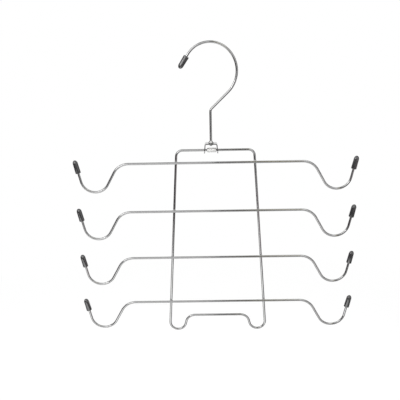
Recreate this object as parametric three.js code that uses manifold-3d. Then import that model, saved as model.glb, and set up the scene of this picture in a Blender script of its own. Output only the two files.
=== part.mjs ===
// Tiered wire hanger: a swivelling hook, a bent wire frame and hooked bars welded across its legs.
// Millimetres and degrees, +Z up. The origin is the rod seat, at the inside of the hook's crown.

import * as THREE from 'three';
import { mergeVertices } from 'three/addons/utils/BufferGeometryUtils.js';
import loadManifold from 'manifold-3d';

// Wire, the same stock for the hook, the frame and the bars
const wireDiameter = 3;

// Hook: stem, slanted run, wide side arc, tighter crown arc and straight tip
const stemLength = 36.8;
const stemBendRadius = 6;
const slantAngle = 45.3;
const sideArcRadius = 36.7;
const sideArcSweep = 90.7;
const crownRadius = 30.7;
const tipSweep = 57.4;
const tipLength = 18;

// Swivel: the collar swaged above the bracket's web and the head peened below it
const collarDiameter = 6.4;
const collarHeight = 2.8;
const headDiameter = 5.2;
const headHeight = 2.6;
const headTipDiameter = 1.4;
const upsetRim = 0.7;
const headToFerrule = 2.4;
const swivelClearance = 0.15;

// Bracket: a stamped strip bent into a U
const sheetThickness = 1.2;
const stripWidth = 8.6;
const sheetBendRadius = 1.2;
const earLean = 5;
const holeClearance = 0.2;

// Frame: top bar, splayed legs, round feet and the raised bottom bar
const frameShift = 5.2;
const topBarWidth = 97.3;
const legSplay = 3.65;
const cornerRadius = 8;
const footRadius = 10.5;
const riserAngle = 76.6;
const riserLength = 3.6;
const notchRadius = 12.4;
const lastTierToFoot = 43.3;
const wireEndGap = 0.4;

// Ferrule that joins the frame wire's ends, between the bracket's ears
const ferruleDiameter = 5.6;
const ferruleLength = 11.2;
const ferruleChamfer = 0.5;
const ferruleClearance = 0.1;
const ferrulePlay = 3.6;
const ferruleEndGap = 1;

// Bars: straight middle, shoulder, slope, round loop and upturned end
const tierCount = 4;
const firstTierDrop = 15.6;
const tierPitch = 64.7;
const barStraight = 218.6;
const shoulderRadius = 21.4;
const slopeAngle = 61.2;
const slopeLength = 18.7;
const loopRadius = 18;
const endRise = 77.5;
const endLength = 27;

// Welds between the bars and the legs
const weldGap = 0.3;
const weldFlash = 0.7;
const weldDepth = 1;
const weldClearance = 0.1;

// Soft caps pushed over the wire ends
const capLength = 17.2;
const capMouthDiameter = 7;
const capNoseDiameter = 6.6;
const capNoseLength = 4.4;
const capMouthRound = 0.4;
const capEndWall = 2;
const capClearance = 0.25;

// Facets
const wireSides = 12;
const degreesPerStep = 12;
const turnedSides = 12;
const domeSteps = 4;
const holeSides = 16;
const weldSides = 10;

// How far a cutting or trimming shape passes what it cuts, and how near corners count as one
const cutOverrun = 2;
const mergeTolerance = 1e-4;

const wireRadius = wireDiameter / 2;
const { degToRad } = THREE.MathUtils;
const alongX = new THREE.Vector3(1, 0, 0);
const alongY = new THREE.Vector3(0, 1, 0);
const alongZ = new THREE.Vector3(0, 0, 1);

const chrome = { color: 0xb4b4b6, metalness: 1, roughness: 0.18 };
const plate = { color: 0xa4a5a6, metalness: 1, roughness: 0.24 };
const bright = { color: 0xdcdcd8, metalness: 1, roughness: 0.14 };
const weldMetal = { color: 0x8c8c8f, metalness: 1, roughness: 0.4 };
const vinyl = { color: 0x2c2c2e, metalness: 0, roughness: 0.45 };

const wasm = await loadManifold();
wasm.setup();

function piece(name, geometry, finish) {
  const mesh = new THREE.Mesh(geometry, new THREE.MeshStandardMaterial(finish));
  mesh.name = name;
  return mesh;
}

// Closed solid of a geometry: shared corners merged, and the flat triangles at poles left out.
function toSolid(geometry) {
  const bare = geometry.clone();
  bare.deleteAttribute('normal');
  bare.deleteAttribute('uv');
  const merged = mergeVertices(bare, mergeTolerance);
  const corners = merged.index.array;
  const kept = [];
  for (let i = 0; i < corners.length; i += 3) {
    const [a, b, c] = corners.slice(i, i + 3);
    if (a !== b && b !== c && c !== a) kept.push(a, b, c);
  }
  const vertProperties = new Float32Array(merged.attributes.position.array);
  const triVerts = new Uint32Array(kept);
  return new wasm.Manifold(new wasm.Mesh({ numProp: 3, vertProperties, triVerts }));
}

function toGeometry(solid) {
  const { vertProperties, triVerts } = solid.getMesh();
  const geometry = new THREE.BufferGeometry();
  geometry.setAttribute('position', new THREE.BufferAttribute(vertProperties, 3));
  geometry.setIndex(new THREE.BufferAttribute(triVerts, 1));
  geometry.computeVertexNormals();
  return geometry;
}

// Centre line of a wire in the XZ plane, made as on a bending bench: straight feeds and round bends.
// Headings are in degrees from +X towards +Z, and a positive bend turns that way.
class BentWire extends THREE.Curve {
  constructor(x, z, heading) {
    super();
    this.points = [new THREE.Vector3(x, 0, z)];
    this.headings = [heading];
  }

  get steps() {
    return this.points.length - 1;
  }

  get end() {
    return this.points[this.steps];
  }

  get heading() {
    return this.headings[this.steps];
  }

  advance(length, way, heading) {
    const angle = degToRad(way);
    const step = new THREE.Vector3(length * Math.cos(angle), 0, length * Math.sin(angle));
    this.points.push(step.add(this.end));
    this.headings.push(heading);
  }

  feed(length) {
    this.advance(length, this.heading, this.heading);
    return this;
  }

  bend(radius, angle) {
    const count = Math.ceil(Math.abs(angle) / degreesPerStep);
    const turn = angle / count;
    const chord = 2 * radius * Math.sin(degToRad(Math.abs(turn) / 2));
    for (let i = 0; i < count; i += 1) {
      this.advance(chord, this.heading + turn / 2, this.heading + turn);
    }
    return this;
  }

  shift(dx, dz) {
    const move = new THREE.Vector3(dx, 0, dz);
    this.points.forEach((point) => point.add(move));
    return this;
  }

  getPointAt(u, target = new THREE.Vector3()) {
    return target.copy(this.points[Math.round(u * this.steps)]);
  }

  getTangentAt(u, target = new THREE.Vector3()) {
    const way = degToRad(this.headings[Math.round(u * this.steps)]);
    return target.set(Math.cos(way), 0, Math.sin(way));
  }
}

// Corner radius of a many-sided bore or cutter whose flats keep the given distance from its axis.
function clearOf(distance, sides) {
  return distance / Math.cos(Math.PI / sides);
}

function wireGeometry(line) {
  const corners = [];
  for (let i = 0; i < wireSides; i += 1) {
    const angle = (2 * Math.PI * (i + 0.5)) / wireSides;
    corners.push(new THREE.Vector2(wireRadius * Math.cos(angle), wireRadius * Math.sin(angle)));
  }
  const section = new THREE.Shape(corners);
  return new THREE.ExtrudeGeometry(section, { steps: line.steps, bevelEnabled: false, extrudePath: line });
}

// Revolve a profile of [radius, height] pairs about +Z.
function turned(profile) {
  const points = profile.map(([radius, height]) => new THREE.Vector2(radius, height));
  return new THREE.LatheGeometry(points, turnedSides).rotateX(Math.PI / 2);
}

// Quarter round from a rim of the given radius up to the axis.
function dome(radius, bottom, top) {
  const profile = [];
  for (let i = 0; i < domeSteps; i += 1) {
    const angle = (Math.PI / 2) * (i / domeSteps);
    profile.push([radius * Math.cos(angle), bottom + (top - bottom) * Math.sin(angle)]);
  }
  return [...profile, [0, top]];
}

// Round cutter, centred on the origin, that passes both faces of a piece of the given length.
function cutter(distance, length, axis) {
  const radius = clearOf(distance, holeSides);
  const geometry = new THREE.CylinderGeometry(radius, radius, length + 2 * cutOverrun, holeSides);
  return axis === alongX ? geometry.rotateZ(Math.PI / 2) : geometry.rotateX(Math.PI / 2);
}

// Heights above the top bar's axis
const webBottom = ferruleDiameter / 2 + headToFerrule + headHeight;
const webTop = webBottom + sheetThickness;
const headTop = webBottom - swivelClearance;
const collarBottom = webTop + swivelClearance;
const stemFoot = headTop - headHeight / 2;
const stemTop = collarBottom + collarHeight + stemLength;

// The slanted run is as long as brings the crown over the stem.
function slantLength() {
  const start = degToRad(90 - slantAngle);
  const change = degToRad(90 - slantAngle + sideArcSweep);
  const bendReach = stemBendRadius * (1 - Math.sin(start));
  const sideReach = sideArcRadius * (Math.sin(change) - Math.sin(start));
  const crownReach = crownRadius * Math.sin(change);
  return (crownReach - sideReach - bendReach) / Math.cos(start);
}

const hookLine = new BentWire(0, stemFoot, 90)
  .feed(stemTop - stemFoot)
  .bend(stemBendRadius, -slantAngle)
  .feed(slantLength())
  .bend(sideArcRadius, sideArcSweep);
hookLine.bend(crownRadius, 180 - hookLine.heading);
const crownHeight = hookLine.end.z;
hookLine.bend(crownRadius, tipSweep).feed(tipLength);

// Metal upset on the stem: a flat bearing face, a short rim and a cone.
function upset(diameter, endDiameter, height) {
  const radius = diameter / 2;
  return turned([[0, 0], [radius, 0], [radius, upsetRim], [endDiameter / 2, height], [0, height]]);
}

function hookGeometry() {
  const collar = upset(collarDiameter, wireDiameter, collarHeight).translate(0, 0, collarBottom);
  const head = upset(headDiameter, headTipDiameter, headHeight);
  head.rotateX(Math.PI).translate(0, 0, headTop);
  return toGeometry(toSolid(wireGeometry(hookLine)).add(toSolid(collar)).add(toSolid(head)));
}

// A cap with its mouth on the origin: a plain round mouth, a slight taper and a bullet nose.
function capGeometry() {
  const bore = clearOf(wireRadius + capClearance, turnedSides);
  const boreEnd = capLength - capEndWall;
  const mouth = capMouthDiameter / 2;
  return turned([
    [0, boreEnd],
    [bore, boreEnd],
    [bore, 0],
    [mouth - capMouthRound, 0],
    [mouth, capMouthRound],
    ...dome(capNoseDiameter / 2, capLength - capNoseLength, capLength),
  ]);
}

// A cap on a wire's end, its mouth down the wire and its closed end past the wire.
function cap(name, end, heading) {
  const way = new THREE.Vector3(Math.cos(degToRad(heading)), 0, Math.sin(degToRad(heading)));
  const mesh = piece(name, capGeometry(), vinyl);
  const coveredWire = capLength - capEndWall - capClearance;
  mesh.quaternion.setFromUnitVectors(alongZ, way);
  mesh.position.copy(end).addScaledVector(way, -coveredWire);
  return mesh;
}

const bracketInside = ferruleLength + ferrulePlay;
const earRadius = stripWidth / 2;

// How far from the middle a line along an ear is, at a height above the top bar's axis.
// The ears lean outwards, and offset is the line's distance outwards from the ear's inside.
function earReach(offset, height) {
  const lean = degToRad(earLean);
  return bracketInside / 2 + (offset - height * Math.sin(lean)) / Math.cos(lean);
}

const bracketOutside = 2 * earReach(sheetThickness, -earRadius);

// Prism of an outline drawn along the two given axes, centred across them.
function prism(outline, depth, right, upward) {
  const across = new THREE.Vector3().crossVectors(right, upward);
  const turn = new THREE.Matrix4().makeBasis(right, upward, across);
  const curveSegments = holeSides / 2;
  const geometry = new THREE.ExtrudeGeometry(outline, { depth, bevelEnabled: false, curveSegments });
  return geometry.translate(0, 0, -depth / 2).applyMatrix4(turn);
}

// The bent strip seen along Y: up one ear, across the web, down the other, and back along the inside.
function stripOutline() {
  const bottom = -earRadius - cutOverrun;
  const outer = earReach(sheetThickness, bottom);
  const inner = earReach(0, bottom);
  const innerBend = sheetBendRadius;
  const outerBend = sheetBendRadius + sheetThickness;
  const bendZ = webBottom - innerBend;
  const bendX = earReach(-innerBend, bendZ);
  const start = degToRad(earLean);
  const shape = new THREE.Shape();
  shape.moveTo(inner, bottom);
  shape.lineTo(outer, bottom);
  shape.absarc(bendX, bendZ, outerBend, start, Math.PI / 2, false);
  shape.absarc(-bendX, bendZ, outerBend, Math.PI / 2, Math.PI - start, false);
  shape.lineTo(-outer, bottom);
  shape.lineTo(-inner, bottom);
  shape.absarc(-bendX, bendZ, innerBend, Math.PI - start, Math.PI / 2, true);
  shape.absarc(bendX, bendZ, innerBend, Math.PI / 2, start, true);
  return shape;
}

// An ear seen along X, round about the frame wire.
function earOutline() {
  const shape = new THREE.Shape();
  shape.moveTo(earRadius, 0);
  shape.lineTo(earRadius, webTop + cutOverrun);
  shape.lineTo(-earRadius, webTop + cutOverrun);
  shape.lineTo(-earRadius, 0);
  shape.absarc(0, 0, earRadius, Math.PI, 2 * Math.PI, false);
  return shape;
}

function bracketGeometry() {
  const strip = toSolid(prism(stripOutline(), stripWidth + 2 * cutOverrun, alongX, alongZ));
  const ears = toSolid(prism(earOutline(), bracketOutside + 2 * cutOverrun, alongY, alongZ));
  const holeRadius = wireRadius + holeClearance;
  const wireHole = cutter(holeRadius, bracketOutside, alongX);
  const stemHole = cutter(holeRadius, sheetThickness, alongZ).translate(0, 0, webTop);
  return toGeometry(strip.intersect(ears).subtract(toSolid(wireHole)).subtract(toSolid(stemHole)));
}

const ferruleCentre = bracketInside / 2 - ferruleEndGap - ferruleLength / 2 - frameShift;

function ferruleGeometry() {
  const bore = clearOf(wireRadius + ferruleClearance, turnedSides);
  const radius = ferruleDiameter / 2;
  const sleeve = turned([
    [bore, 0],
    [radius - ferruleChamfer, 0],
    [radius, ferruleChamfer],
    [radius, ferruleLength - ferruleChamfer],
    [radius - ferruleChamfer, ferruleLength],
    [bore, ferruleLength],
    [bore, 0],
  ]);
  return sleeve.rotateY(Math.PI / 2).translate(ferruleCentre - ferruleLength / 2, 0, 0);
}

function tierDrop(tier) {
  return firstTierDrop + (tier - 1) * tierPitch;
}

// One side of the frame, from the top bar round the corner, down the leg and up out of the foot.
const legLean = Math.sin(degToRad(legSplay));
const cornerDrop = cornerRadius * (1 - legLean);
const footDrop = footRadius * (1 + legLean);
const legHeight = tierDrop(tierCount) + lastTierToFoot - cornerDrop - footDrop;
const legLength = legHeight / Math.cos(degToRad(legSplay));
const cornerTurn = 90 - legSplay;
const footTurn = 90 + legSplay + riserAngle;
const topBarEnd = topBarWidth / 2 - cornerRadius * Math.tan(degToRad(cornerTurn / 2));

// The frame wire, clockwise from its joint in the ferrule and back to it.
function frameLine() {
  const start = ferruleCentre + wireEndGap / 2;
  const finish = ferruleCentre - wireEndGap / 2;
  const line = new BentWire(start, 0, 0)
    .feed(topBarEnd - start)
    .bend(cornerRadius, -cornerTurn)
    .feed(legLength)
    .bend(footRadius, -footTurn)
    .feed(riserLength)
    .bend(notchRadius, riserAngle);
  return line
    .feed(2 * line.end.x)
    .bend(notchRadius, riserAngle)
    .feed(riserLength)
    .bend(footRadius, -footTurn)
    .feed(legLength)
    .bend(cornerRadius, -cornerTurn)
    .feed(finish + topBarEnd);
}

// A bar from its left tip to its right, with its straight middle on the origin.
function barLine() {
  const line = new BentWire(0, 0, -endRise)
    .feed(endLength)
    .bend(loopRadius, endRise + slopeAngle)
    .feed(slopeLength)
    .bend(shoulderRadius, -slopeAngle);
  const middle = line.end.clone();
  return line
    .feed(barStraight)
    .bend(shoulderRadius, -slopeAngle)
    .feed(slopeLength)
    .bend(loopRadius, slopeAngle + endRise)
    .feed(endLength)
    .shift(-middle.x - barStraight / 2, -middle.z);
}

// Metal squeezed out between a bar and a leg: a flat bead with the two wires' beds cut in it.
function weldGeometry(side) {
  const reach = wireRadius + weldFlash;
  const bed = wireRadius + weldClearance;
  const toWire = wireRadius + weldGap / 2;
  const bead = new THREE.SphereGeometry(1, weldSides, weldSides).scale(reach, weldDepth, reach);
  const bar = cutter(bed, 2 * reach, alongX).translate(0, -toWire, 0);
  const leg = cutter(bed, 2 * reach, alongZ).rotateY(-side * degToRad(legSplay)).translate(0, toWire, 0);
  return toGeometry(toSolid(bead).subtract(toSolid(bar)).subtract(toSolid(leg)));
}

// One bar with its caps and welds, its origin in the middle of the bar.
function tierGroup(tier) {
  const group = new THREE.Group();
  const line = barLine();
  const legOffset = topBarWidth / 2 + tierDrop(tier) * Math.tan(degToRad(legSplay));
  group.add(piece(`tier_bar_${tier}`, wireGeometry(line), chrome));
  for (const [label, side] of [['left', -1], ['right', 1]]) {
    const tip = side < 0 ? line.points[0] : line.end;
    const heading = side < 0 ? 180 - endRise : endRise;
    const weld = piece(`tier_${tier}_weld_${label}`, weldGeometry(side), weldMetal);
    weld.position.set(side * legOffset, wireRadius + weldGap / 2, 0);
    group.add(cap(`tier_${tier}_cap_${label}`, tip, heading), weld);
  }
  group.position.set(0, -(wireDiameter + weldGap), -tierDrop(tier));
  return group;
}

const hook = new THREE.Group();
hook.add(piece('hook_wire', hookGeometry(), chrome));
hook.add(cap('hook_tip_cap', hookLine.end, hookLine.heading));

const frame = new THREE.Group();
frame.position.x = frameShift;
frame.add(piece('frame_wire', wireGeometry(frameLine()), chrome));
frame.add(piece('frame_ferrule', ferruleGeometry(), bright));
for (let tier = 1; tier <= tierCount; tier += 1) frame.add(tierGroup(tier));

const hanger = new THREE.Group();
hanger.add(hook, piece('swivel_bracket', bracketGeometry(), plate), frame);
hanger.position.z = wireRadius - crownHeight;

const part = new THREE.Group();
part.add(hanger);

export default part;
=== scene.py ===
"""Looks of a tiered wire hanger: chrome wire, a swivelling hook and soft black caps.

Metres and degrees, in the frame of the solids: +Z up, the origin at the hook's rod seat.
"""

import math

import bmesh
import bpy
from mathutils import Matrix, Vector


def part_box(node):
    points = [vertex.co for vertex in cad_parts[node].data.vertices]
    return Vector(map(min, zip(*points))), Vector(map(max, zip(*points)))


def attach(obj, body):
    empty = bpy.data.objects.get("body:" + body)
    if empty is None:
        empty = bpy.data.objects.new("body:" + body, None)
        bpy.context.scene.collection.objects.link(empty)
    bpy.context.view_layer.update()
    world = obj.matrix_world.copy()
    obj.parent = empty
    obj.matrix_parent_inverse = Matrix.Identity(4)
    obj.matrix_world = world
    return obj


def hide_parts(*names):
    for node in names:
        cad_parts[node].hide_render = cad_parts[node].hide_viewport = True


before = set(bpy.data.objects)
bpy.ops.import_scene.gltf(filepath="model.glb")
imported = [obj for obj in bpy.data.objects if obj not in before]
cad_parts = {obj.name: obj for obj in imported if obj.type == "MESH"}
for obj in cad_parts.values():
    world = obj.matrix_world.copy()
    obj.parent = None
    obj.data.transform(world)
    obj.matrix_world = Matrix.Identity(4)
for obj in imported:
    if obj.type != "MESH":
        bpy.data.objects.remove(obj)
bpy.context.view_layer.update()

# Points nearer than this are one point, and edges flatter than this are shaded smooth
SAME_PLACE = 1e-6
SMOOTH_ANGLE = 40.0

# Wire stock, and how finely its round and its bends are divided
WIRE_RADIUS = 0.0015
WIRE_SIDES = 32
BEND_STEP = 3.0

# Sides of the same wire in the solids
SOLID_WIRE_SIDES = 12

# Hook
STEM_LENGTH = 0.0368
STEM_BEND_RADIUS = 0.006
SLANT_ANGLE = 45.3
SIDE_ARC_RADIUS = 0.0367
SIDE_ARC_SWEEP = 90.7
CROWN_RADIUS = 0.0307
TIP_SWEEP = 57.4
TIP_LENGTH = 0.018

# Collar swaged above the bracket's web and head peened below it
COLLAR_RADIUS = 0.0032
COLLAR_HEIGHT = 0.0028
HEAD_RADIUS = 0.0026
HEAD_HEIGHT = 0.0026
HEAD_TIP_RADIUS = 0.0007
UPSET_RIM = 0.0007
UPSET_EDGE = 0.0003
UPSET_EDGE_STEPS = 2
SWIVEL_CLEARANCE = 0.00015

# Bracket, a stamped strip bent into a U, rounded at edges sharper than an angle
SHEET = 0.0012
STRIP_WIDTH = 0.0086
SHEET_BEND_RADIUS = 0.0012
EAR_LEAN = 5.0
HOLE_CLEARANCE = 0.0002
HOLE_SIDES = 48
SHEET_BEND_STEPS = 8
SHEARED_EDGE = 0.00018
SHEARED_EDGE_STEPS = 3
SHEARED_EDGE_ANGLE = 60.0

# Frame
TOP_BAR_WIDTH = 0.0973
LEG_SPLAY = 3.65
CORNER_RADIUS = 0.008
FOOT_RADIUS = 0.0105
RISER_ANGLE = 76.6
RISER_LENGTH = 0.0036
NOTCH_RADIUS = 0.0124
FRAME_END_GAP = 0.0004

# Ferrule
FERRULE_RADIUS = 0.0028
FERRULE_BORE = 0.0016
FERRULE_EDGE = 0.0005
FERRULE_EDGE_STEPS = 5

# Bars
TIERS = 4
BAR_STRAIGHT = 0.2186
SHOULDER_RADIUS = 0.0214
SLOPE_ANGLE = 61.2
SLOPE_LENGTH = 0.0187
LOOP_RADIUS = 0.018
END_RISE = 77.5
END_LENGTH = 0.027

# Welds, with waves in radians over half a bead
WELD_REACH = 0.0022
WELD_DEPTH = 0.0011
WELD_LUMP = 0.00012
WELD_WAVES_ACROSS = 5
WELD_WAVES_UP = 4
WELD_SIDES = 32
WELD_RINGS = 20

# Caps
CAP_LENGTH = 0.0172
CAP_MOUTH_RADIUS = 0.0035
CAP_NOSE_RADIUS = 0.0033
CAP_NOSE_LENGTH = 0.0044
CAP_NOSE_STEPS = 14
CAP_MOUTH_ROUND = 0.0005
CAP_MOUTH_STEPS = 4
CAP_BORE_ROUND = 0.0003
CAP_BORE_STEPS = 3
CAP_END_WALL = 0.002
CAP_CLEARANCE = 0.00025
TURNED_SIDES = 48

# Plated metal: darkest and lightest tone, least roughness, what smudges add to it, pits per metre
DRAWN_CHROME = ((0.54, 0.54, 0.55), (0.63, 0.63, 0.62), 0.07, 0.07, 900)
STAMPED_CHROME = ((0.42, 0.42, 0.43), (0.5, 0.5, 0.49), 0.14, 0.1, 1400)
TUMBLED_SLEEVE = ((0.9, 0.9, 0.89), (0.97, 0.97, 0.96), 0.42, 0.1, 1100)
WELD_BEAD = ((0.4, 0.4, 0.41), (0.56, 0.55, 0.54), 0.2, 0.16, 1600)
SLEEVE_METALLIC = 0.45

# Marks in every plate: clouds and smudges per metre, and the pits' strength and depth
PLATE_CLOUDS = 70
PLATE_SMUDGES = 190
PIT_STRENGTH = 0.06
PIT_DEPTH = 0.00003

# Drawing lines: how fine they are along the wire and round it, and what they do to its polish
LINE_FINENESS = (30.0, 6.0, 6.0)
LINE_ROUGHNESS = (-0.015, 0.03)
LINE_STRENGTH = 0.06
LINE_DEPTH = 0.00004

# Vinyl: darkest and lightest tone, least and most roughness, marks per metre, and its gloss
VINYL_TONES = ((0.024, 0.024, 0.026), (0.042, 0.042, 0.044))
VINYL_ROUGHNESS = (0.12, 0.26)
VINYL_CLOUDS = 240
VINYL_SCUFFS = 700
SCUFF_HARSHNESS = 0.65
VINYL_DENTS = 420
DENT_STRENGTH = 0.15
DENT_DEPTH = 0.0002
VINYL_SKIN = 2600
SKIN_STRENGTH = 0.12
SKIN_DEPTH = 0.00004
VINYL_GLOSS_INDEX = 1.7
VINYL_GLOSS_ROUGHNESS = 0.06

# Camera, as found from the wires' places in the photograph
CAMERA_TARGET = Vector((-0.0152, 0.0, -0.1985))
CAMERA_DISTANCE = 0.946
CAMERA_AZIMUTH = 1.0
CAMERA_ELEVATION = 20.0
CAMERA_ROLL = -1.25
CAMERA_LENS = 66.5
CAMERA_SENSOR = 36.0

# Studio
AMBIENT = 0.6
STUDIO_SIDES = 96
STUDIO_MIDDLE = Vector((0.0, 0.0, -0.2))
# Painted dark reflection: a dim plum glow round everything that only the metal sees
ROOM_RADIUS = 1.05
ROOM_LEVEL = 0.06
PANEL_RADIUS = 1.0
PANEL_STEP = 0.005
PANEL_FACET = 3.0
RISING_LIMIT = 2.0

# Floor, and the distances from its middle between which it fades into the white
FLOOR_CENTRE = Vector((0.0, 0.0, -0.69))
FLOOR_RADIUS = 2.4
FLOOR_TONE = (0.82, 0.82, 0.82)
FLOOR_ROUGHNESS = 0.9
FLOOR_SPECULAR = 0.1
FLOOR_TOP_UP = 0.3
FLOOR_FADE = (0.25, 0.95)

# Lamps that face the studio's middle: place, width and height, and power
SOFTBOXES = {
    "overhead": ((0.0, -0.2, 1.0), (1.2, 0.8), 9.0),
    "left strip": ((-1.1, -0.9, 0.5), (0.25, 1.2), 6.0),
}

# Painted light that only the metal sees on the floor: a glowing pool at the front left, and a dim
# glow elsewhere
PAINTED_POOL_CENTRE = FLOOR_CENTRE + Vector((-0.225, -0.71, 0.0))
PAINTED_POOL_LEVEL = 1.65
PAINTED_POOL_EDGES = (0.09, 0.85)
PAINTED_FLOOR_GLOW = 0.15

# Hues of the painted reflections round the studio
PAPER = (1.0, 1.0, 1.0)
PLUM = (1.0, 0.88, 0.91)
OAK = (1.0, 0.93, 0.65)

# Painted reflections, glowing panels that only the metal sees round it, bright ones painted light
# and dark ones painted shade, each in front of the ones before: hue, brightness, its rise per metre
# of height, azimuths in degrees from the front towards +X, and elevations
PANELS = {
    "back wall": (PAPER, 0.2, 0.0, (120, 240), (-30, 40)),
    "back light": (PAPER, 1.2, 0.0, (150, 210), (-30, 35)),
    "back ceiling": (PAPER, 0.4, 0.0, (110, 250), (40, 80)),
    "ceiling": (PAPER, 0.7, 0.0, (-70, 85), (20, 90)),
    "overhead left light": (PAPER, 1.6, 0.0, (-80, -35), (25, 60)),
    "overhead right light": (PAPER, 1.6, 0.0, (25, 65), (45, 70)),
    "left light": (PAPER, 0.8, 0.0, (-95, -45), (0, 30)),
    "right light": (PAPER, 0.75, 0.0, (50, 80), (-20, 25)),
    "front wall": (PAPER, 0.7, 1.0, (-20, 45), (-20, 40)),
    "strip light": (PAPER, 1.6, 0.0, (-40, -15), (0, 30)),
    "left shade": (PLUM, 0.03, 0.0, (-70, -25), (-15, 10)),
    "low wall": (PLUM, 0.35, 0.0, (15, 125), (-25, -15)),
    "low light": (PAPER, 1.6, 0.0, (-50, -15), (-30, -20)),
    "front gap": (PLUM, 0.02, 0.0, (0, 15), (-30, 55)),
    "beam": (OAK, 0.65, 0.0, (10, 20), (15, 75)),
    "stand": (PLUM, 0.03, 0.0, (-35, -10), (-25, -15)),
    # Painted highlight: a small bright glow, no lamp, that puts highlight dots on the caps' noses
    "painted key highlight": (PAPER, 6.0, 0.0, (-55, -45), (15, 30)),
}

SIDES = {"left": -1, "right": 1}


def heading_vector(heading):
    """Direction in the XZ plane, in degrees from +X towards +Z."""
    angle = math.radians(heading)
    return Vector((math.cos(angle), 0.0, math.sin(angle)))


def stand_along(place, way):
    """Transform that stands +Z along a direction, at a place."""
    turn = Vector((0, 0, 1)).rotation_difference(way)
    return Matrix.LocRotScale(place, turn, None)


def edges_among(bm, verts):
    """Edges that have both their ends among these vertices."""
    chosen = set(verts)
    return [e for e in bm.edges if chosen.issuperset(e.verts)]


def grow(bm, edges):
    """New vertices on top of the edges' own, still to be moved."""
    grown = bmesh.ops.extrude_edge_only(bm, edges=edges)["geom"]
    return [g for g in grown if isinstance(g, bmesh.types.BMVert)]


class BenchWire:
    """Round wire grown ring by ring in an XZ plane by straight feeds and round bends.

    Headings are in degrees from +X towards +Z, and a positive bend turns that way. wire_lay keeps
    each corner's distance along the wire and its place round it, for marks that follow the wire.
    """

    def __init__(self, start, heading, radius=WIRE_RADIUS):
        self.bm = bmesh.new()
        self.lay = self.bm.verts.layers.float_vector.new("wire_lay")
        self.centre = Vector(start)
        self.heading = heading
        self.along = 0.0
        place = stand_along(self.centre, heading_vector(heading))
        disc = bmesh.ops.create_circle(
            self.bm, cap_ends=True, segments=WIRE_SIDES, radius=radius, matrix=place
        )
        self.take_ring(disc["verts"])

    def take_ring(self, verts):
        """Make these vertices the wire's last ring."""
        self.edges = edges_among(self.bm, verts)
        across = heading_vector(self.heading + 90)
        for vert in verts:
            spoke = (vert.co - self.centre).normalized()
            vert[self.lay] = (self.along, spoke.y, spoke.dot(across))

    def feed(self, length, radius=None):
        """Straight run, to another radius where one is given."""
        verts = grow(self.bm, self.edges)
        step = heading_vector(self.heading) * length
        bmesh.ops.translate(self.bm, verts=verts, vec=step)
        self.centre += step
        self.along += abs(length)
        if radius is not None:
            size = radius / (verts[0].co - self.centre).length
            to_centre = Matrix.Translation(-self.centre)
            bmesh.ops.scale(self.bm, verts=verts, vec=(size, size, size), space=to_centre)
        self.take_ring(verts)
        return self

    def bend(self, radius, angle):
        """Round bend, in even steps."""
        steps = math.ceil(abs(angle) / BEND_STEP)
        turn = angle / steps
        for _ in range(steps):
            verts = grow(self.bm, self.edges)
            inward = heading_vector(self.heading + math.copysign(90, angle))
            pivot = self.centre + inward * radius
            rotation = Matrix.Rotation(math.radians(-turn), 3, "Y")
            bmesh.ops.rotate(self.bm, verts=verts, cent=pivot, matrix=rotation)
            self.centre = pivot + rotation @ (self.centre - pivot)
            self.heading += turn
            self.along += radius * math.radians(abs(turn))
            self.take_ring(verts)
        return self

    def close(self):
        """Fill the last ring and hand over the finished mesh."""
        bmesh.ops.edgeloop_fill(self.bm, edges=self.edges)
        return self.bm


def round_off(bm, edges, offset, segments):
    bmesh.ops.bevel(
        bm,
        geom=list(edges),
        offset=offset,
        offset_type="OFFSET",
        segments=segments,
        profile=0.5,
        affect="EDGES",
        material=-1,
        clamp_overlap=True,
    )


def edges_at(bm, radius, height):
    """Edges of a turned piece that run round it at this radius and height."""
    ring = []
    for vert in bm.verts:
        off_radius = abs(math.hypot(vert.co.x, vert.co.y) - radius)
        off_height = abs(vert.co.z - height)
        if max(off_radius, off_height) < SAME_PLACE:
            ring.append(vert)
    return edges_among(bm, ring)


def turned(profile):
    """Revolve a chain of (radius, height) corners about +Z."""
    bm = bmesh.new()
    chain = [bm.verts.new((radius, 0.0, height)) for radius, height in profile]
    edges = [bm.edges.new(pair) for pair in zip(chain, chain[1:])]
    bmesh.ops.spin(
        bm,
        geom=chain + edges,
        cent=(0, 0, 0),
        axis=(0, 0, 1),
        angle=2 * math.pi,
        steps=TURNED_SIDES,
        use_merge=True,
    )
    bmesh.ops.remove_doubles(bm, verts=bm.verts, dist=SAME_PLACE)
    bmesh.ops.recalc_face_normals(bm, faces=bm.faces)
    return bm


def new_object(name, bm, material):
    """Put a finished mesh into the scene."""
    mesh = bpy.data.meshes.new(name)
    bm.to_mesh(mesh)
    bm.free()
    mesh.materials.append(material)
    piece = bpy.data.objects.new(name, mesh)
    bpy.context.scene.collection.objects.link(piece)
    return piece


def finish_piece(name, bm, slot, body, node):
    """Turn a finished mesh into a piece that stands for a solid and moves with its body."""
    bmesh.ops.recalc_face_normals(bm, faces=bm.faces)
    for face in bm.faces:
        face.smooth = True
    for edge in bm.edges:
        edge.smooth = not edge.is_manifold or edge.calc_face_angle() < math.radians(SMOOTH_ANGLE)
    piece = new_object(name, bm, FINISHES[slot])
    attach(piece, body)
    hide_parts(node)
    return piece


# Materials


def new_material(name):
    material = bpy.data.materials.new(name)
    material.use_nodes = True
    tree = material.node_tree
    return material, tree, tree.nodes["Principled BSDF"]


def noise(tree, vector, scale, detail=2.0, roughness=0.5):
    texture = tree.nodes.new("ShaderNodeTexNoise")
    texture.inputs["Scale"].default_value = scale
    texture.inputs["Detail"].default_value = detail
    texture.inputs["Roughness"].default_value = roughness
    tree.links.new(vector, texture.inputs["Vector"])
    return texture.outputs["Fac"]


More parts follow.
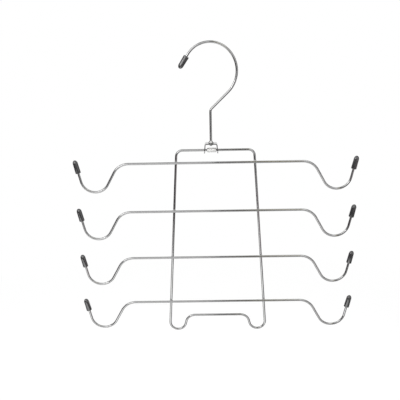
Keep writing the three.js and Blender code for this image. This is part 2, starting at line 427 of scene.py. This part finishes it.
def spread(tree, value, low, high, start=0.3, stop=0.7):
    """Map one range of numbers to another, by default from the middle of a noise."""
    node = tree.nodes.new("ShaderNodeMapRange")
    node.inputs["From Min"].default_value = start
    node.inputs["From Max"].default_value = stop
    node.inputs["To Min"].default_value = low
    node.inputs["To Max"].default_value = high
    tree.links.new(value, node.inputs["Value"])
    return node.outputs["Result"]


def combine(tree, operation, first, second):
    node = tree.nodes.new("ShaderNodeMath")
    node.operation = operation
    tree.links.new(first, node.inputs[0])
    tree.links.new(second, node.inputs[1])
    return node.outputs["Value"]


def tint(tree, value, low, high):
    node = tree.nodes.new("ShaderNodeMix")
    node.data_type = "RGBA"
    node.inputs["A"].default_value = (*low, 1)
    node.inputs["B"].default_value = (*high, 1)
    tree.links.new(value, node.inputs["Factor"])
    return node.outputs["Result"]


def bump(tree, height, strength, distance, under=None):
    node = tree.nodes.new("ShaderNodeBump")
    node.inputs["Strength"].default_value = strength
    node.inputs["Distance"].default_value = distance
    tree.links.new(height, node.inputs["Height"])
    if under is not None:
        tree.links.new(under, node.inputs["Normal"])
    return node.outputs["Normal"]


def object_coordinates(tree):
    return tree.nodes.new("ShaderNodeTexCoord").outputs["Object"]


def plated(name, dark, light, polish, smudge, grain):
    """Plated metal: cloudy tone, smudged polish and a fine unevenness of the plate."""
    material, tree, shader = new_material(name)
    place = object_coordinates(tree)
    clouds = noise(tree, place, PLATE_CLOUDS, detail=4)
    smudges = noise(tree, place, PLATE_SMUDGES, detail=3)
    pits = noise(tree, place, grain)
    tree.links.new(tint(tree, clouds, dark, light), shader.inputs["Base Color"])
    roughness = spread(tree, smudges, polish, polish + smudge)
    tree.links.new(roughness, shader.inputs["Roughness"])
    tree.links.new(bump(tree, pits, PIT_STRENGTH, PIT_DEPTH), shader.inputs["Normal"])
    shader.inputs["Metallic"].default_value = 1.0
    return material


def chrome_wire():
    """Chrome on drawn wire: the plate's clouds, and faint drawing lines that run along the wire."""
    material = plated("drawn chrome", *DRAWN_CHROME)
    tree = material.node_tree
    shader = tree.nodes["Principled BSDF"]
    lay = tree.nodes.new("ShaderNodeAttribute")
    lay.attribute_name = "wire_lay"
    stretch = tree.nodes.new("ShaderNodeMapping")
    stretch.inputs["Scale"].default_value = LINE_FINENESS
    tree.links.new(lay.outputs["Vector"], stretch.inputs["Vector"])
    lines = noise(tree, stretch.outputs["Vector"], 1.0, detail=3)
    polish = shader.inputs["Roughness"].links[0].from_socket
    drawn = spread(tree, lines, *LINE_ROUGHNESS)
    tree.links.new(combine(tree, "ADD", polish, drawn), shader.inputs["Roughness"])
    pitted = shader.inputs["Normal"].links[0].from_socket
    scored = bump(tree, lines, LINE_STRENGTH, LINE_DEPTH, pitted)
    tree.links.new(scored, shader.inputs["Normal"])
    return material


def bright_sleeve():
    """Tumbled sleeve: pale and matt, so that it takes the lamps' light all round."""
    material = plated("bright sleeve", *TUMBLED_SLEEVE)
    shader = material.node_tree.nodes["Principled BSDF"]
    shader.inputs["Metallic"].default_value = SLEEVE_METALLIC
    return material


def black_vinyl():
    """Soft dipped vinyl: near black and glossy, with fine skin, shallow dents and dull scuffs."""
    material, tree, shader = new_material("soft vinyl")
    place = object_coordinates(tree)
    clouds = noise(tree, place, VINYL_CLOUDS, detail=3)
    scuffs = noise(tree, place, VINYL_SCUFFS, detail=4, roughness=SCUFF_HARSHNESS)
    dents = noise(tree, place, VINYL_DENTS, detail=1)
    skin = noise(tree, place, VINYL_SKIN)
    tree.links.new(tint(tree, clouds, *VINYL_TONES), shader.inputs["Base Color"])
    tree.links.new(spread(tree, scuffs, *VINYL_ROUGHNESS), shader.inputs["Roughness"])
    shader.inputs["Specular IOR Level"].default_value = 1.0
    shader.inputs["Coat Weight"].default_value = 1.0
    shader.inputs["Coat IOR"].default_value = VINYL_GLOSS_INDEX
    shader.inputs["Coat Roughness"].default_value = VINYL_GLOSS_ROUGHNESS
    dented = bump(tree, dents, DENT_STRENGTH, DENT_DEPTH)
    grained = bump(tree, skin, SKIN_STRENGTH, SKIN_DEPTH, dented)
    tree.links.new(grained, shader.inputs["Normal"])
    return material


FINISHES = {
    "chrome_wire": chrome_wire(),
    "chrome_plate": plated("stamped chrome", *STAMPED_CHROME),
    "bright_sleeve": bright_sleeve(),
    "weld_metal": plated("weld bead", *WELD_BEAD),
    "black_vinyl": black_vinyl(),
}


# Places taken from the solids, and what follows from the sizes above

bracket_low, bracket_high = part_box("swivel_bracket")
frame_low, frame_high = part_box("frame_wire")
WEB_TOP = bracket_high.z
WEB_BOTTOM = WEB_TOP - SHEET
EAR_RADIUS = STRIP_WIDTH / 2
TOP_BAR_HEIGHT = bracket_low.z + EAR_RADIUS
BRACKET_HALF = bracket_high.x
FRAME_MIDDLE = (frame_low.x + frame_high.x) / 2
SOLID_WIRE_FLAT = WIRE_RADIUS * math.cos(math.pi / SOLID_WIRE_SIDES)


# Pieces


def cap_nose():
    """Corners of the cap's bullet nose, from where the taper ends up to the axis."""
    start = CAP_LENGTH - CAP_NOSE_LENGTH
    corners = []
    for step in range(CAP_NOSE_STEPS):
        angle = math.pi / 2 * step / CAP_NOSE_STEPS
        height = start + CAP_NOSE_LENGTH * math.sin(angle)
        corners.append((CAP_NOSE_RADIUS * math.cos(angle), height))
    return [*corners, (0, CAP_LENGTH)]


def add_cap(name, tip, heading, body, node):
    """Soft cap on a wire's end: bullet nose past the wire, slight taper and a plain round mouth."""
    bore = WIRE_RADIUS + CAP_CLEARANCE
    bore_end = CAP_LENGTH - CAP_END_WALL
    mouth = [(0, bore_end), (bore, bore_end), (bore, 0), (CAP_MOUTH_RADIUS, 0)]
    bm = turned(mouth + cap_nose())
    round_off(bm, edges_at(bm, CAP_MOUTH_RADIUS, 0), CAP_MOUTH_ROUND, CAP_MOUTH_STEPS)
    round_off(bm, edges_at(bm, bore, 0), CAP_BORE_ROUND, CAP_BORE_STEPS)
    way = heading_vector(heading)
    covered = bore_end - CAP_CLEARANCE
    place = stand_along(tip - way * covered, way)
    bmesh.ops.transform(bm, matrix=place, verts=bm.verts)
    finish_piece(name, bm, "black_vinyl", body, node)


def slant_length():
    """Length of the slanted run that brings the crown over the stem."""
    start = math.radians(90 - SLANT_ANGLE)
    change = math.radians(90 - SLANT_ANGLE + SIDE_ARC_SWEEP)
    bend_reach = STEM_BEND_RADIUS * (1 - math.sin(start))
    side_reach = SIDE_ARC_RADIUS * (math.sin(change) - math.sin(start))
    crown_reach = CROWN_RADIUS * math.sin(change)
    return (crown_reach - side_reach - bend_reach) / math.cos(start)


def add_hook():
    """Hook wire from its peened head, up through the web and the collar, and over the crown."""
    head_top = WEB_BOTTOM - SWIVEL_CLEARANCE
    wire = BenchWire((0, 0, head_top - HEAD_HEIGHT), 90, HEAD_TIP_RADIUS)
    wire.feed(HEAD_HEIGHT - UPSET_RIM, HEAD_RADIUS).feed(UPSET_RIM).feed(0, WIRE_RADIUS)
    wire.feed(SHEET + 2 * SWIVEL_CLEARANCE).feed(0, COLLAR_RADIUS)
    wire.feed(UPSET_RIM).feed(COLLAR_HEIGHT - UPSET_RIM, WIRE_RADIUS).feed(STEM_LENGTH)
    wire.bend(STEM_BEND_RADIUS, -SLANT_ANGLE).feed(slant_length())
    wire.bend(SIDE_ARC_RADIUS, SIDE_ARC_SWEEP)
    wire.bend(CROWN_RADIUS, 180 - wire.heading)
    wire.bend(CROWN_RADIUS, TIP_SWEEP).feed(TIP_LENGTH)
    hook = finish_piece("hook", wire.close(), "chrome_wire", "hook", "hook_wire")
    edges = hook.modifiers.new("worn edges", "BEVEL")
    edges.width = UPSET_EDGE
    edges.segments = UPSET_EDGE_STEPS
    edges.limit_method = "ANGLE"
    add_cap("hook_cap", wire.centre, wire.heading, "hook", "hook_tip_cap")


def punched_disc(bm, centre, turn):
    """Flat ring of sheet round a punched hole, as wide as the strip."""
    hole_radius = WIRE_RADIUS + HOLE_CLEARANCE
    place = Matrix.LocRotScale(centre, turn, None)
    hole = bmesh.ops.create_circle(
        bm, cap_ends=False, segments=HOLE_SIDES, radius=hole_radius, matrix=place
    )
    rim = grow(bm, edges_among(bm, hole["verts"]))
    size = EAR_RADIUS / hole_radius
    to_centre = Matrix.Translation(-centre)
    bmesh.ops.scale(bm, verts=rim, vec=(size, size, size), space=to_centre)
    return rim


def half_rim_edges(bm, rim, centre, way):
    """Rim edges on one side of a punched disc."""
    return edges_among(bm, [v for v in rim if (v.co - centre).dot(way) > -SAME_PLACE])


def grow_line(bm, edges):
    """Next line of the strip: its vertices, still to be moved, and the edges between them."""
    line = grow(bm, edges)
    return line, edges_among(bm, line)


def add_bracket():
    """Bracket as it is stamped: a strip with three punched discs, bent down at both ends."""
    bm = bmesh.new()
    middle = SHEET / 2
    web_centre = Vector((0, 0, WEB_TOP - middle))
    web_rim = punched_disc(bm, web_centre, None)
    bend_radius = SHEET_BEND_RADIUS + middle
    lean = math.radians(EAR_LEAN)
    ear_x = BRACKET_HALF - (middle + EAR_RADIUS * math.sin(lean)) / math.cos(lean)
    pivot_height = web_centre.z - bend_radius
    ear_rise = (pivot_height - TOP_BAR_HEIGHT) * math.sin(lean)
    pivot_x = ear_x - (bend_radius + ear_rise) / math.cos(lean)
    for side in SIDES.values():
        outward = Vector((side, 0, 0))
        line, edges = grow_line(bm, half_rim_edges(bm, web_rim, web_centre, outward))
        for vert in line:
            vert.co.x = side * pivot_x
        pivot = Vector((side * pivot_x, 0, pivot_height))
        bend = side * (math.pi / 2 - lean)
        step = Matrix.Rotation(bend / SHEET_BEND_STEPS, 3, "Y")
        for _ in range(SHEET_BEND_STEPS):
            line, edges = grow_line(bm, edges)
            bmesh.ops.rotate(bm, verts=line, cent=pivot, matrix=step)
        ear_centre = Vector((side * ear_x, 0, TOP_BAR_HEIGHT))
        up_ear = Vector((-side * math.sin(lean), 0, math.cos(lean)))
        line, edges = grow_line(bm, edges)
        for vert in line:
            rise = math.sqrt(max(EAR_RADIUS**2 - vert.co.y**2, 0.0))
            vert.co = ear_centre + up_ear * rise + Vector((0, vert.co.y, 0))
        punched_disc(bm, ear_centre, Matrix.Rotation(bend, 3, "Y").to_quaternion())
    bmesh.ops.remove_doubles(bm, verts=bm.verts, dist=SAME_PLACE)
    bmesh.ops.recalc_face_normals(bm, faces=bm.faces)
    piece = finish_piece("swivel_stirrup", bm, "chrome_plate", "bracket", "swivel_bracket")
    wall = piece.modifiers.new("sheet", "SOLIDIFY")
    wall.thickness = SHEET
    wall.offset = 0
    wall.use_even_offset = True
    edges = piece.modifiers.new("sheared edges", "BEVEL")
    edges.width = SHEARED_EDGE
    edges.segments = SHEARED_EDGE_STEPS
    edges.limit_method = "ANGLE"
    edges.angle_limit = math.radians(SHEARED_EDGE_ANGLE)
    seams = piece.modifiers.new("clean seams", "WELD")
    seams.merge_threshold = SAME_PLACE


def add_ferrule():
    """Sleeve on the top bar, with rounded ends, over the joint of the frame wire."""
    low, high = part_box("frame_ferrule")
    length = high.x - low.x
    corners = [
        (FERRULE_BORE, 0),
        (FERRULE_RADIUS, 0),
        (FERRULE_RADIUS, length),
        (FERRULE_BORE, length),
        (FERRULE_BORE, 0),
    ]
    bm = turned(corners)
    for height in (0, length):
        rim = edges_at(bm, FERRULE_RADIUS, height)
        round_off(bm, rim, FERRULE_EDGE, FERRULE_EDGE_STEPS)
    place = stand_along(Vector((low.x, 0, TOP_BAR_HEIGHT)), heading_vector(0))
    bmesh.ops.transform(bm, matrix=place, verts=bm.verts)
    finish_piece("joint_sleeve", bm, "bright_sleeve", "frame", "frame_ferrule")


def add_frame():
    """Frame wire, clockwise from its joint in the ferrule and back to it."""
    ferrule_low, ferrule_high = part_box("frame_ferrule")
    joint = (ferrule_low.x + ferrule_high.x) / 2
    corner_turn = 90 - LEG_SPLAY
    foot_turn = 90 + LEG_SPLAY + RISER_ANGLE
    lean = math.sin(math.radians(LEG_SPLAY))
    foot_bottom = frame_low.z + SOLID_WIRE_FLAT
    bends_height = CORNER_RADIUS * (1 - lean) + FOOT_RADIUS * (1 + lean)
    leg_height = TOP_BAR_HEIGHT - foot_bottom - bends_height
    leg_length = leg_height / math.cos(math.radians(LEG_SPLAY))
    bar_end = TOP_BAR_WIDTH / 2 - CORNER_RADIUS * math.tan(math.radians(corner_turn / 2))
    start = joint + FRAME_END_GAP / 2
    wire = BenchWire((start, 0, TOP_BAR_HEIGHT), 0)
    wire.feed(FRAME_MIDDLE + bar_end - start)
    wire.bend(CORNER_RADIUS, -corner_turn).feed(leg_length)
    wire.bend(FOOT_RADIUS, -foot_turn).feed(RISER_LENGTH)
    wire.bend(NOTCH_RADIUS, RISER_ANGLE)
    wire.feed(2 * (wire.centre.x - FRAME_MIDDLE))
    wire.bend(NOTCH_RADIUS, RISER_ANGLE).feed(RISER_LENGTH)
    wire.bend(FOOT_RADIUS, -foot_turn).feed(leg_length)
    wire.bend(CORNER_RADIUS, -corner_turn)
    wire.feed(joint - FRAME_END_GAP / 2 - wire.centre.x)
    finish_piece("frame_loop", wire.close(), "chrome_wire", "frame", "frame_wire")


def add_weld(tier, label, place):
    """Bead squeezed out between a bar and a leg, a little lumpy."""
    bm = bmesh.new()
    bmesh.ops.create_uvsphere(bm, u_segments=WELD_SIDES, v_segments=WELD_RINGS, radius=1.0)
    for vert in bm.verts:
        across = math.sin(WELD_WAVES_ACROSS * vert.co.x + tier)
        up = math.cos(WELD_WAVES_UP * vert.co.z + place.x)
        vert.co *= 1 + across * up * WELD_LUMP / WELD_REACH
    bmesh.ops.scale(bm, verts=bm.verts, vec=(WELD_REACH, WELD_DEPTH, WELD_REACH))
    bmesh.ops.translate(bm, verts=bm.verts, vec=place)
    node = f"tier_{tier}_weld_{label}"
    finish_piece(f"bar_{tier}_weld_{label}", bm, "weld_metal", "frame", node)


def loop_drop():
    """How far the bottoms of a bar's loops lie below its straight run."""
    slope = math.radians(SLOPE_ANGLE)
    bends = (SHOULDER_RADIUS + LOOP_RADIUS) * (1 - math.cos(slope))
    return bends + SLOPE_LENGTH * math.sin(slope)


def add_tier(tier):
    """One bar from its left tip to its right, with its caps and welds."""
    node = f"tier_bar_{tier}"
    low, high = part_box(node)
    depth = (low.y + high.y) / 2
    height = low.z + SOLID_WIRE_FLAT + loop_drop()
    wire = BenchWire((0, 0, 0), -END_RISE)
    wire.feed(END_LENGTH).bend(LOOP_RADIUS, END_RISE + SLOPE_ANGLE)
    wire.feed(SLOPE_LENGTH).bend(SHOULDER_RADIUS, -SLOPE_ANGLE)
    left_end = Vector((FRAME_MIDDLE - BAR_STRAIGHT / 2, depth, height))
    to_place = left_end - wire.centre
    wire.feed(BAR_STRAIGHT)
    wire.bend(SHOULDER_RADIUS, -SLOPE_ANGLE).feed(SLOPE_LENGTH)
    wire.bend(LOOP_RADIUS, SLOPE_ANGLE + END_RISE).feed(END_LENGTH)
    tips = {"left": to_place, "right": wire.centre + to_place}
    bm = wire.close()
    bmesh.ops.translate(bm, verts=bm.verts, vec=to_place)
    finish_piece(f"hanging_bar_{tier}", bm, "chrome_wire", "frame", node)
    for label, side in SIDES.items():
        heading = 90 - side * (90 - END_RISE)
        cap_node = f"tier_{tier}_cap_{label}"
        add_cap(f"bar_{tier}_cap_{label}", tips[label], heading, "frame", cap_node)
        weld_low, weld_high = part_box(f"tier_{tier}_weld_{label}")
        add_weld(tier, label, (weld_low + weld_high) / 2)


add_hook()
add_bracket()
add_frame()
add_ferrule()
for tier in range(1, TIERS + 1):
    add_tier(tier)


# Studio


def seen_rays(tree):
    """1 for rays from the camera or by way of metal and glass, and 0 for all other light."""
    path = tree.nodes.new("ShaderNodeLightPath")
    total = path.outputs["Is Camera Ray"]
    for kind in ("Is Glossy Ray", "Is Transmission Ray"):
        total = combine(tree, "ADD", total, path.outputs[kind])
    return spread(tree, total, 0.0, 1.0, 0.0, 1.0)


def add_white_world():
    """White where it is seen, and a plain level of light where it falls on the object."""
    world = bpy.data.worlds.new("white studio")
    bpy.context.scene.world = world
    world.use_nodes = True
    tree = world.node_tree
    background = tree.nodes["Background"]
    background.inputs["Color"].default_value = (1, 1, 1, 1)
    strength = spread(tree, seen_rays(tree), AMBIENT, 1.0, 0.0, 1.0)
    tree.links.new(strength, background.inputs["Strength"])


def stage_piece(name, bm, material):
    """Put a finished mesh for the studio into the scene."""
    piece = new_object(name, bm, material)
    return piece


def rising_strength(tree, level, rise):
    """Strength that changes evenly with height, from dark up to a limit."""
    gain = tree.nodes.new("ShaderNodeVectorMath")
    gain.operation = "DOT_PRODUCT"
    gain.inputs[1].default_value = (0, 0, rise)
    tree.links.new(object_coordinates(tree), gain.inputs[0])
    return spread(tree, gain.outputs["Value"], 0.0, RISING_LIMIT, -level, RISING_LIMIT - level)


def distance_from(tree, centre):
    away = tree.nodes.new("ShaderNodeVectorMath")
    away.operation = "DISTANCE"
    away.inputs[1].default_value = centre
    tree.links.new(object_coordinates(tree), away.inputs[0])
    return away.outputs["Value"]


def emission(tree, strength):
    glow = tree.nodes.new("ShaderNodeEmission")
    tree.links.new(strength, glow.inputs["Strength"])
    return glow.outputs["Emission"]


def mix_shaders(tree, factor, first, second):
    mix = tree.nodes.new("ShaderNodeMixShader")
    tree.links.new(factor, mix.inputs["Fac"])
    tree.links.new(first, mix.inputs[1])
    tree.links.new(second, mix.inputs[2])
    return mix.outputs["Shader"]


def floor_material():
    """Pale paper that keeps soft shadows near the middle and fades into the white background.

    In the metal it shows only painted light: a dim glow, with a painted pool of light at the front
    left.
    """
    material, tree, shader = new_material("pale floor")
    shader.inputs["Base Color"].default_value = (*FLOOR_TONE, 1)
    shader.inputs["Roughness"].default_value = FLOOR_ROUGHNESS
    shader.inputs["Specular IOR Level"].default_value = FLOOR_SPECULAR
    seen = seen_rays(tree)
    top_up = emission(tree, spread(tree, seen, 0.0, FLOOR_TOP_UP, 0.0, 1.0))
    paper = tree.nodes.new("ShaderNodeAddShader")
    tree.links.new(shader.outputs["BSDF"], paper.inputs[0])
    tree.links.new(top_up, paper.inputs[1])
    outward = spread(tree, distance_from(tree, FLOOR_CENTRE), 0.0, 1.0, *FLOOR_FADE)
    faded = combine(tree, "MULTIPLY", outward, seen)
    white = tree.nodes.new("ShaderNodeEmission").outputs["Emission"]
    in_view = mix_shaders(tree, faded, paper.outputs["Shader"], white)
    # Painted light for the metal: a glowing pool at the front left, over a dim glow
    from_painted_pool = distance_from(tree, PAINTED_POOL_CENTRE)
    pool = emission(tree, spread(tree, from_painted_pool, PAINTED_POOL_LEVEL, PAINTED_FLOOR_GLOW, *PAINTED_POOL_EDGES))
    glossy = tree.nodes.new("ShaderNodeLightPath").outputs["Is Glossy Ray"]
    surface = mix_shaders(tree, glossy, in_view, pool)
    tree.links.new(surface, tree.nodes["Material Output"].inputs["Surface"])
    return material


def add_floor():
    bm = bmesh.new()
    bmesh.ops.create_circle(bm, cap_ends=True, segments=STUDIO_SIDES, radius=FLOOR_RADIUS)
    bmesh.ops.translate(bm, verts=bm.verts, vec=FLOOR_CENTRE)
    stage_piece("floor", bm, floor_material())


def glow_material(name, hue, level, rise):
    """Even light, or light that changes with height."""
    material = bpy.data.materials.new(name)
    material.use_nodes = True
    tree = material.node_tree
    tree.nodes.remove(tree.nodes["Principled BSDF"])
    glow = tree.nodes.new("ShaderNodeEmission")
    glow.inputs["Color"].default_value = (*hue, 1)
    glow.inputs["Strength"].default_value = level
    if rise:
        tree.links.new(rising_strength(tree, level, rise), glow.inputs["Strength"])
    tree.links.new(glow.outputs["Emission"], tree.nodes["Material Output"].inputs["Surface"])
    return material


def stage_in_reflections(name, bm, material):
    """Piece of the studio that only shows in the metal."""
    piece = stage_piece(name, bm, material)
    piece.visible_camera = False
    piece.visible_diffuse = False
    piece.visible_transmission = False
    piece.visible_volume_scatter = False
    piece.visible_shadow = False


def add_room():
    """Dark round room behind the panels, a painted dark reflection that only the metal sees."""
    bm = bmesh.new()
    bmesh.ops.create_uvsphere(
        bm, u_segments=STUDIO_SIDES, v_segments=STUDIO_SIDES // 2, radius=ROOM_RADIUS
    )
    bmesh.ops.translate(bm, verts=bm.verts, vec=STUDIO_MIDDLE)
    stage_in_reflections("dark room", bm, glow_material("dark room", PLUM, ROOM_LEVEL, 0.0))


def sweep(bm, axis, start, stop):
    """Turn the mesh to a first angle about the studio's middle, then spin it on to a second."""
    turn = Matrix.Rotation(math.radians(start), 3, axis)
    bmesh.ops.rotate(bm, verts=bm.verts, cent=STUDIO_MIDDLE, matrix=turn)
    bmesh.ops.spin(
        bm,
        geom=list(bm.verts) + list(bm.edges),
        cent=STUDIO_MIDDLE,
        axis=axis,
        angle=math.radians(stop - start),
        steps=math.ceil(abs(stop - start) / PANEL_FACET),
    )


def add_panel(name, radius, hue, level, rise, azimuths, elevations):
    """Round panel about the studio's middle, at a distance from it."""
    bm = bmesh.new()
    bm.verts.new(STUDIO_MIDDLE + Vector((0, -radius, 0)))
    low, high = elevations
    sweep(bm, Vector((1, 0, 0)), -low, -high)
    sweep(bm, Vector((0, 0, 1)), *azimuths)
    stage_in_reflections(name, bm, glow_material(name, hue, level, rise))


def add_softbox(name, place, size, power):
    """Lamp that lights the object and doesn't show in the metal."""
    light = bpy.data.lights.new(name, "AREA")
    light.shape = "RECTANGLE"
    light.size, light.size_y = size
    light.energy = power
    lamp = bpy.data.objects.new(name, light)
    bpy.context.scene.collection.objects.link(lamp)
    lamp.location = place
    lamp.visible_glossy = False
    lamp.rotation_mode = "QUATERNION"
    lamp.rotation_quaternion = (STUDIO_MIDDLE - Vector(place)).to_track_quat("-Z", "Y")


def add_camera():
    azimuth = math.radians(CAMERA_AZIMUTH)
    elevation = math.radians(CAMERA_ELEVATION)
    back = Vector((
        math.sin(azimuth) * math.cos(elevation),
        -math.cos(azimuth) * math.cos(elevation),
        math.sin(elevation),
    ))
    data = bpy.data.cameras.new("camera")
    data.lens = CAMERA_LENS
    data.sensor_width = CAMERA_SENSOR
    camera = bpy.data.objects.new("camera", data)
    bpy.context.scene.collection.objects.link(camera)
    level = (-back).to_track_quat("-Z", "Y").to_matrix()
    roll = Matrix.Rotation(math.radians(CAMERA_ROLL), 3, "Z")
    place = Matrix.Translation(CAMERA_TARGET + back * CAMERA_DISTANCE)
    camera.matrix_world = place @ (level @ roll).to_4x4()
    bpy.context.scene.camera = camera


add_white_world()
add_floor()
add_room()
for order, (name, panel) in enumerate(PANELS.items()):
    add_panel(name, PANEL_RADIUS - order * PANEL_STEP, *panel)
for name, softbox in SOFTBOXES.items():
    add_softbox(name, *softbox)
add_camera()
bpy.context.scene.view_settings.view_transform = "Standard"
